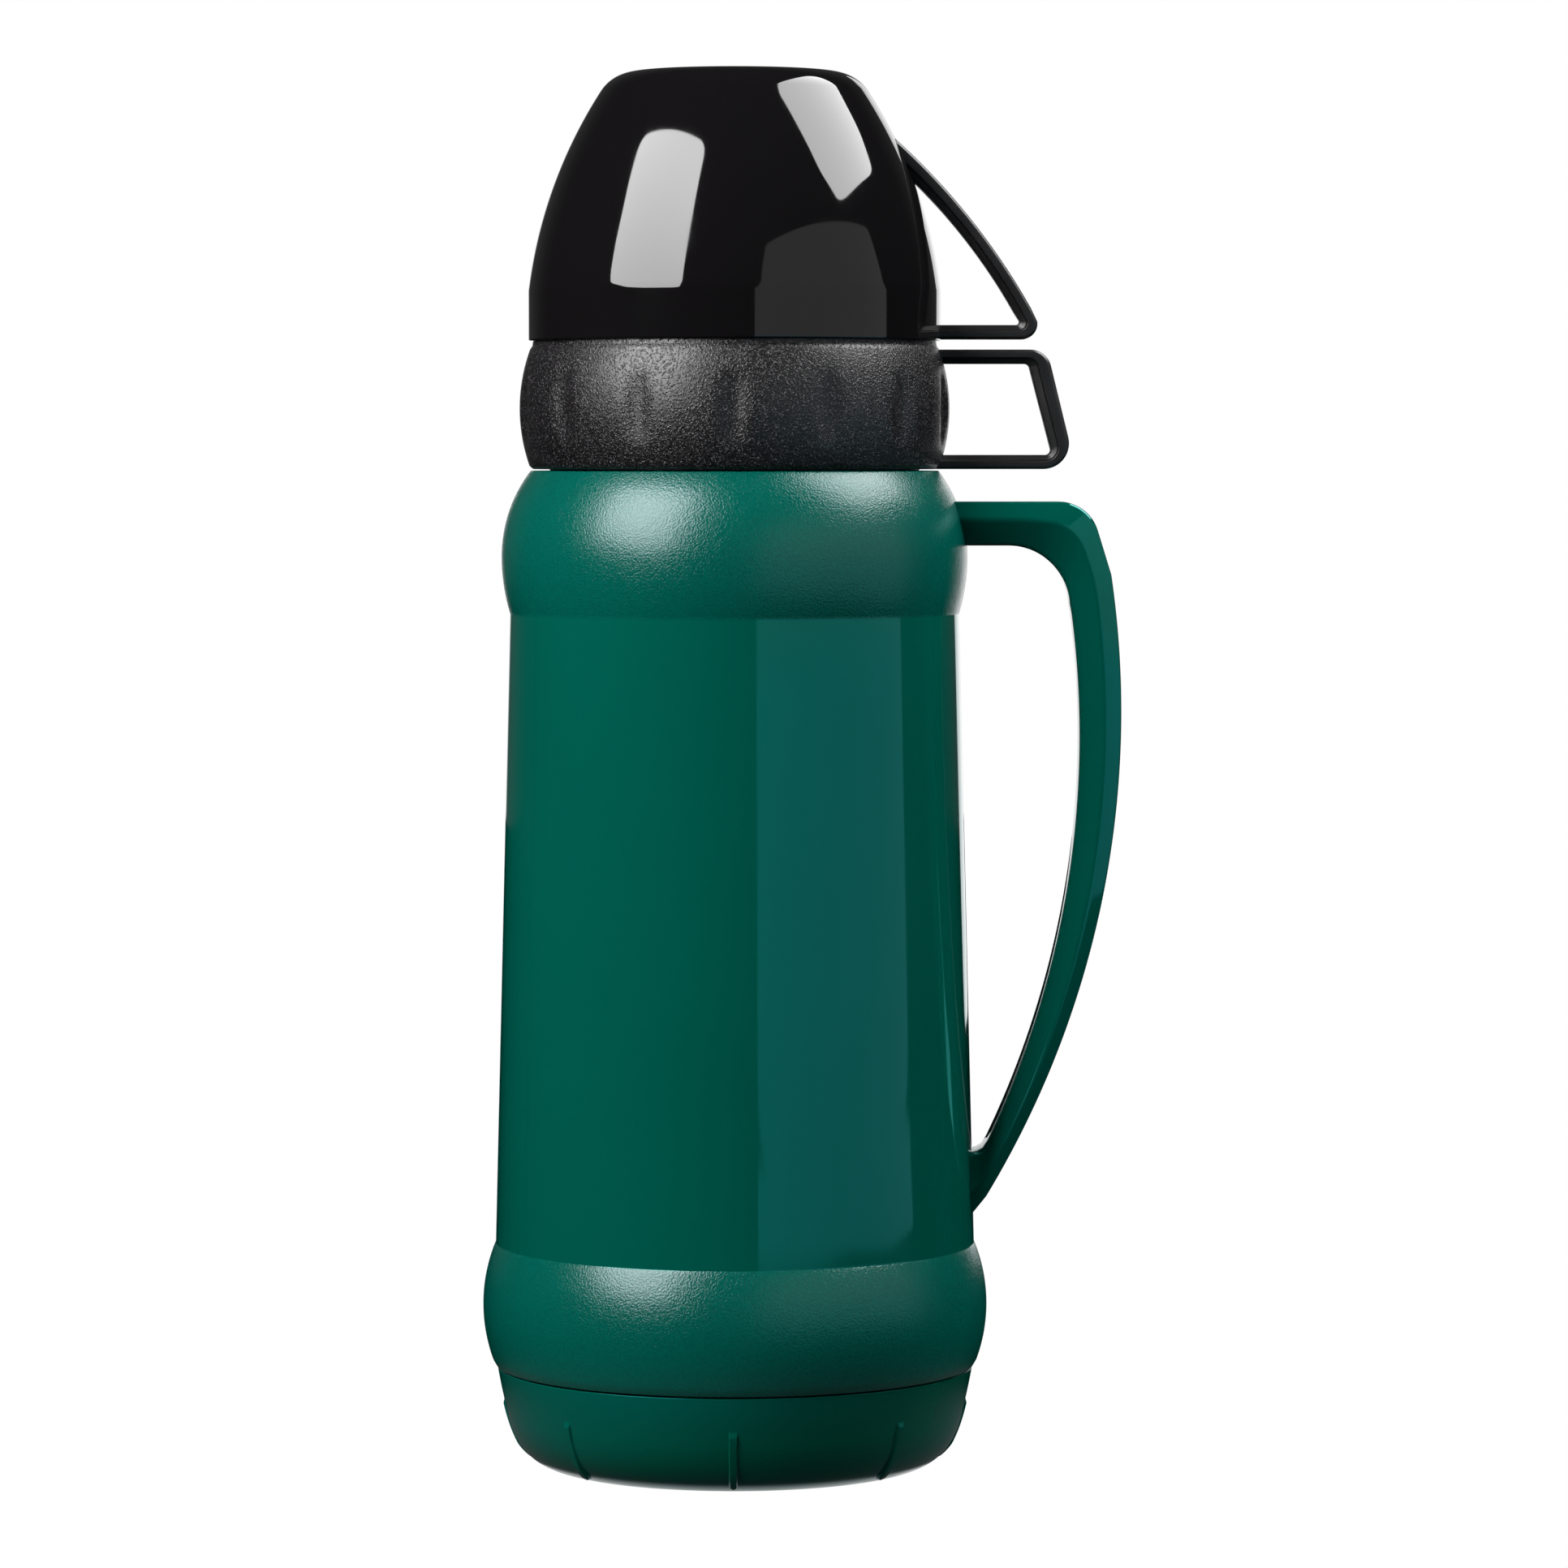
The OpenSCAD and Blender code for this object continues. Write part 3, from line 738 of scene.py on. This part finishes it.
def build_inner_cup():
    """The textured cup: scooped band, finger loop, a dome inside the outer cup and a thread inside."""
    up = math.degrees(math.asin((BAND_HIGH - 0.8 - BAND_Z) / BAND_ARC_R))
    down = math.degrees(math.asin((BAND_Z - BAND_LOW - 0.8) / BAND_ARC_R))
    nest_r = CUP_R - CUP_WALL - NEST_GAP
    band = arc((BAND_R - BAND_ARC_R, BAND_Z), BAND_ARC_R, -down, up, 48)
    solid = rounded(
        [(0, BAND_LOW), (BAND_EDGE_R, BAND_LOW, 0.3)] + band
        + [(BAND_EDGE_R + 0.15, BAND_HIGH, 0.3), (BAND_EDGE_R, CUP_RIM - 0.1), (nest_r, CUP_RIM - 0.1)]
        + dome(CUP_WALL + NEST_GAP)
    )

    def slot_of(r, z):
        return 0 if z < CUP_RIM - 0.1 else 1

    paints = [band_black, satin_black]
    angles = close_angles(SCOOPS, reach=5.2, coarse=2.0, fine=0.5)
    cup = lathe("inner_cup_shell", firm(solid), paints, angles, scoop_shape, slot_of)
    loop = sweep("loop", bar_sections(inner_loop_pairs(), strap_section, LOOP_DEPTH), paints, 1)
    combine(cup, loop, "UNION")
    hollow = rounded(
        [(0, BAND_LOW - 1), (CUP_THREAD_R, BAND_LOW - 1), (CUP_THREAD_R, 270.5, 1), (53.2, 273, 2),
         (53.2, 281, 4), (nest_r - CUP_WALL, 290, 3)]
        + dome(2 * CUP_WALL + NEST_GAP)
    )
    thread = helix(264, pitch=5, turns=1.4, height=-1.1, wall_r=CUP_THREAD_R)
    inside = lathe("hollow", firm(hollow, fine=[CUP_THREAD_R]), paints, shape=thread, slot_of=lambda r, z: 1)
    combine(cup, inside, "DIFFERENCE")
    return cup


# ----------------------------------------------------------- collar and stopper

COLLAR_R = size("neck_collar")[1].y - 1.5
COLLAR_BORE_R, COLLAR_WALL = 29.4, 2.5
PLUG_R, PLUG_LOW, NOSE_R = 27.3, size("stopper_body")[0].z, 22.0


def build_collar():
    """The collar in the casing's mouth: coarse thread outside for the cup, finer one inside for the
    stopper."""
    top = casing_top
    inner_r = COLLAR_R - COLLAR_WALL
    outline = rounded([
        (41.2, 248.5), (43.6, 248.5), (43.6, top), (44.9, top), (44.9, top + 1.9), (46.9, top + 1.9),
        (46.9, top), (COLLAR_R, top, 0.3), (COLLAR_R, 281, 1.2), (COLLAR_R - 1.8, 283.2, 1.5),
        (35, 288.8, 1.5), (33.2, 291, 0.6), (30.2, 291, 0.6), (COLLAR_BORE_R, 289.6, 0.6),
        (COLLAR_BORE_R, 270.4), (27.4, 270.4), (27.4, 268.1), (31.9, 268.1), (31.9, 287, 1),
        (inner_r, 280.4, 1), (inner_r, top + 2.4), (41.2, top + 2.4),
    ])
    outside = helix(265.5, pitch=5, turns=2.5, height=1.5, wall_r=COLLAR_R)
    inside = helix(273.2, pitch=4, turns=2.9, height=0.7, wall_r=COLLAR_BORE_R)

    def shape(r, z, angles):
        return outside(r, z, angles) + inside(r, z, angles)

    return lathe("collar", firm(outline, fine=[COLLAR_R, COLLAR_BORE_R]), [satin_black], shape=shape)


def build_stopper():
    """The stopper's hollow body, with a flange above its thread."""
    outline = rounded([
        (19.8, PLUG_LOW), (NOSE_R, PLUG_LOW, 0.6), (NOSE_R, 268.9, 0.4), (PLUG_R, 268.9, 0.6),
        (PLUG_R, 291.2, 0.4), (32.4, 291.2, 0.6), (32.4, 293.6, 0.6), (24, 293.6), (24, 298), (0, 298),
        (0, 295.5), (21.6, 295.5), (21.6, 291.4), (25, 291.4), (25, 271), (19.8, 271),
    ])
    thread = helix(272.2, pitch=4, turns=3.6, height=0.9, wall_r=PLUG_R)
    return lathe("stopper_shell", firm(outline, fine=[PLUG_R]), [stopper_grey], shape=thread)


# ------------------------------------------------------------------ whole model


def stand_for(piece, node):
    """piece takes a CAD node's place and moves with its body."""
    body = next(b for b, nodes in frame["record"]["behaviour"]["bodies"].items() if node in nodes)
    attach(piece, body)
    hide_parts(node)


stand_for(build_casing(), "casing")
stand_for(build_base_cap(), "base_cap")
stand_for(build_outer_cup(), "outer_cup")
stand_for(build_inner_cup(), "inner_cup")
stand_for(build_collar(), "neck_collar")
stand_for(build_stopper(), "stopper_body")

node_paint = {
    "base_seal": rubber_black, "liner_cushion": rubber_black, "glass_outer_bottle": silvered,
    "glass_inner_bottle": silvered, "glass_spacer_pads": felt_tan, "tip_protector": rubber_black,
    "shoulder_cushion": rubber_black, "neck_gasket": rubber_black, "collar_seal": rubber_black,
    "stopper_knob": satin_black,
    "stopper_foam": foam_cream, "stopper_floor": stopper_grey, "stopper_seal": silicone_white,
}
for node_name, paint in node_paint.items():
    data = frame["nodes"][node_name].data
    data.materials.clear()
    data.materials.append(paint)
    data.shade_smooth()
    data.set_sharp_from_angle(angle=math.radians(30))


# ---------------------------------------------------------------- stage, camera

EYE = Vector((0.0129, -1.65, 0.2667))
PITCH = math.radians(3.06)

camera_data = bpy.data.cameras.new("camera")
camera_data.sensor_width = 36
camera_data.lens = 144.8
camera = bpy.data.objects.new("camera", camera_data)
camera.location = EYE
camera.rotation_euler = (math.pi / 2 - PITCH, 0, 0)
bpy.context.scene.collection.objects.link(camera)
bpy.context.scene.camera = camera
bpy.context.scene.view_settings.view_transform = "Standard"


def round_corners(corners, cut, steps=5):
    """A closed 3-D outline with its corners softened over a share of each side."""
    points = []
    for i, here in enumerate(corners):
        start = here.lerp(corners[i - 1], cut)
        end = here.lerp(corners[(i + 1) % len(corners)], cut)
        for k in range(steps + 1):
            t = k / steps
            points.append(start * (1 - t) ** 2 + here * 2 * t * (1 - t) + end * t**2)
    return points


TINT_FROM, TINT_TO = 0.21, 0.27


def softbox(name, corners, radiance, low_share=1.0, cut=0.22, low_colour=None):
    """A white glowing sheet with rounded corners, which only the camera doesn't see. Its lower edge glows
    with low_share of the radiance, and its part nearest the floor in low_colour, if that is given."""
    outline = round_corners([Vector(c) for c in corners], cut)
    middle = sum(outline, Vector()) / len(outline)
    count = len(outline)
    faces = [(i, (i + 1) % count, count) for i in range(count)]
    sheet = make_object(name, [v / MM for v in (*outline, middle)], faces)
    material = bpy.data.materials.new(name + "_glow")
    material.use_nodes = True
    tree = material.node_tree
    tree.nodes.clear()
    glow = tree.nodes.new("ShaderNodeEmission")
    glow.inputs["Color"].default_value = (1, 1, 1, 1)
    place = tree.nodes.new("ShaderNodeTexCoord")
    split = tree.nodes.new("ShaderNodeSeparateXYZ")
    tree.links.new(place.outputs["Object"], split.inputs[0])
    heights = [c[2] for c in corners]
    strength = ramp(tree, split.outputs["Z"], min(heights), max(heights), radiance * low_share, radiance)
    tree.links.new(strength, glow.inputs["Strength"])
    if low_colour:
        tint = tree.nodes.new("ShaderNodeMix")
        tint.data_type = "RGBA"
        tree.links.new(ramp(tree, split.outputs["Z"], TINT_FROM, TINT_TO, 0, 1), tint.inputs[0])
        tint.inputs[6].default_value = (*low_colour, 1)
        tint.inputs[7].default_value = (1, 1, 1, 1)
        tree.links.new(tint.outputs[2], glow.inputs["Color"])
    output = tree.nodes.new("ShaderNodeOutputMaterial")
    tree.links.new(glow.outputs[0], output.inputs["Surface"])
    sheet.data.materials.append(material)
    sheet.visible_camera = False
    return sheet


def fill(name, azimuth, elevation, distance, width, radiance):
    """A square light that lights the flask without showing in its reflections."""
    light = bpy.data.lights.new(name, "AREA")
    light.size = width
    light.energy = radiance * math.pi * width**2
    obj = bpy.data.objects.new(name, light)
    a, e = math.radians(azimuth), math.radians(elevation)
    way = Vector((math.sin(a) * math.cos(e), -math.cos(a) * math.cos(e), math.sin(e)))
    obj.location = Vector((0, 0, 0.2)) + way * distance
    obj.rotation_euler = way.to_track_quat("Z", "Y").to_euler()
    obj.visible_camera = False
    obj.visible_glossy = False
    bpy.context.scene.collection.objects.link(obj)
    return obj


TEAL = (0.55, 1.08, 1.3)
PANEL_LOW = 0.006
APRON_R = 0.72

softbox("key", [
    (-0.89, -0.14, 1.15), (-0.65, -0.44, 1.25), (-0.31, -0.72, 1.26), (-0.47, -0.96, 0.96),
    (-0.65, -1.12, 0.38), (-1.01, -0.81, 0.38), (-1.20, -0.37, 0.58), (-1.07, -0.31, 0.90),
], radiance=14.5, low_share=0.7)
softbox("strip", [
    (0.47, -0.32, 1.39), (0.44, 0.64, 1.27), (0.86, 0.47, 1.07), (0.95, 0.45, 0.99),
    (1.05, 0.36, 0.89), (1.03, -0.34, 0.93), (0.88, -0.42, 1.08), (0.70, -0.39, 1.25),
], radiance=10)
softbox("panel", [
    (0.25, -1.27, PANEL_LOW), (0.25, -1.27, 0.32), (0.33, -1.15, 0.73), (0.37, -1.08, 0.84),
    (1.00, -0.50, 0.88), (1.17, -0.05, 0.79), (1.26, 0.03, 0.55), (1.30, 0.05, 0.32),
    (1.30, 0.05, PANEL_LOW),
], radiance=0.5, cut=0.12, low_colour=TEAL)
softbox("rim", [
    (0.60, 1.13, 0.01), (0.25, 1.27, 0.01), (0.22, 1.15, 0.80), (0.50, 1.04, 0.80),
], radiance=1.5)
apron_turns = [math.radians(a) for a in np.linspace(10.9, 92, 12)]
softbox("apron", [
    (0.25, -1.27, PANEL_LOW),
    *[(APRON_R * math.sin(a), -APRON_R * math.cos(a), PANEL_LOW) for a in apron_turns],
    (1.30, 0.05, PANEL_LOW), (1.02, -0.42, PANEL_LOW), (0.72, -0.82, PANEL_LOW),
], radiance=0.5, cut=0.04, low_colour=TEAL)
fill("fill", azimuth=82, elevation=12, distance=1.6, width=1.2, radiance=6.8)
fill("back", azimuth=180, elevation=6, distance=1.6, width=0.9, radiance=6)


def build_world():
    """White to the camera; dark for light and reflections, apart from a white backdrop behind the flask."""
    world = bpy.data.worlds.new("studio")
    bpy.context.scene.world = world
    world.use_nodes = True
    tree = world.node_tree
    tree.nodes.clear()
    place = tree.nodes.new("ShaderNodeTexCoord")
    split = tree.nodes.new("ShaderNodeSeparateXYZ")
    tree.links.new(place.outputs["Generated"], split.inputs[0])
    behind = ramp(tree, split.outputs["Y"], 0.965, 0.995, 0, 1)
    around = ramp(tree, split.outputs["Y"], 0.55, 0.95, 0.004, 0.05)
    seen = tree.nodes.new("ShaderNodeLightPath")
    brightest = tree.nodes.new("ShaderNodeMath")
    brightest.operation = "MAXIMUM"
    tree.links.new(behind, brightest.inputs[0])
    tree.links.new(seen.outputs["Is Camera Ray"], brightest.inputs[1])
    both = tree.nodes.new("ShaderNodeMath")
    both.operation = "MAXIMUM"
    tree.links.new(brightest.outputs[0], both.inputs[0])
    tree.links.new(around, both.inputs[1])
    glow = tree.nodes.new("ShaderNodeBackground")
    glow.inputs["Color"].default_value = (1, 1, 1, 1)
    tree.links.new(both.outputs[0], glow.inputs["Strength"])
    output = tree.nodes.new("ShaderNodeOutputWorld")
    tree.links.new(glow.outputs[0], output.inputs["Surface"])


def build_floor():
    """A white table top. Only the part close to the foot lights the flask or shows in its reflections. The
    camera sees the white surroundings through it and the lamps shine through it, so a base lowered below the
    table stays in sight."""
    size_m = 3.0
    corners = [(-size_m, -size_m, 0), (size_m, -size_m, 0), (size_m, size_m, 0), (-size_m, size_m, 0)]
    floor = make_object("floor", np.array(corners) / MM, [(0, 1, 2, 3)])
    floor.location.z = -0.0004
    material = bpy.data.materials.new("white_table")
    material.use_nodes = True
    tree = material.node_tree
    tree.nodes.clear()
    place = tree.nodes.new("ShaderNodeTexCoord")
    distance = tree.nodes.new("ShaderNodeVectorMath")
    distance.operation = "LENGTH"
    tree.links.new(place.outputs["Object"], distance.inputs[0])
    contact = ramp(tree, distance.outputs["Value"], 0.0510, 0.0535, 0.8, 0)
    around = ramp(tree, distance.outputs["Value"], 0.08, 0.14, 0.08, 0)
    near_foot = tree.nodes.new("ShaderNodeMath")
    tree.links.new(contact, near_foot.inputs[0])
    tree.links.new(around, near_foot.inputs[1])
    glow = tree.nodes.new("ShaderNodeEmission")
    tree.links.new(near_foot.outputs[0], glow.inputs["Strength"])
    clear = tree.nodes.new("ShaderNodeBsdfTransparent")
    seen = tree.nodes.new("ShaderNodeLightPath")
    through = tree.nodes.new("ShaderNodeMath")
    through.operation = "MAXIMUM"
    tree.links.new(seen.outputs["Is Camera Ray"], through.inputs[0])
    tree.links.new(seen.outputs["Is Shadow Ray"], through.inputs[1])
    choose = tree.nodes.new("ShaderNodeMixShader")
    tree.links.new(through.outputs[0], choose.inputs[0])
    tree.links.new(glow.outputs[0], choose.inputs[1])
    tree.links.new(clear.outputs[0], choose.inputs[2])
    output = tree.nodes.new("ShaderNodeOutputMaterial")
    tree.links.new(choose.outputs[0], output.inputs["Surface"])
    floor.data.materials.append(material)


build_world()
build_floor()
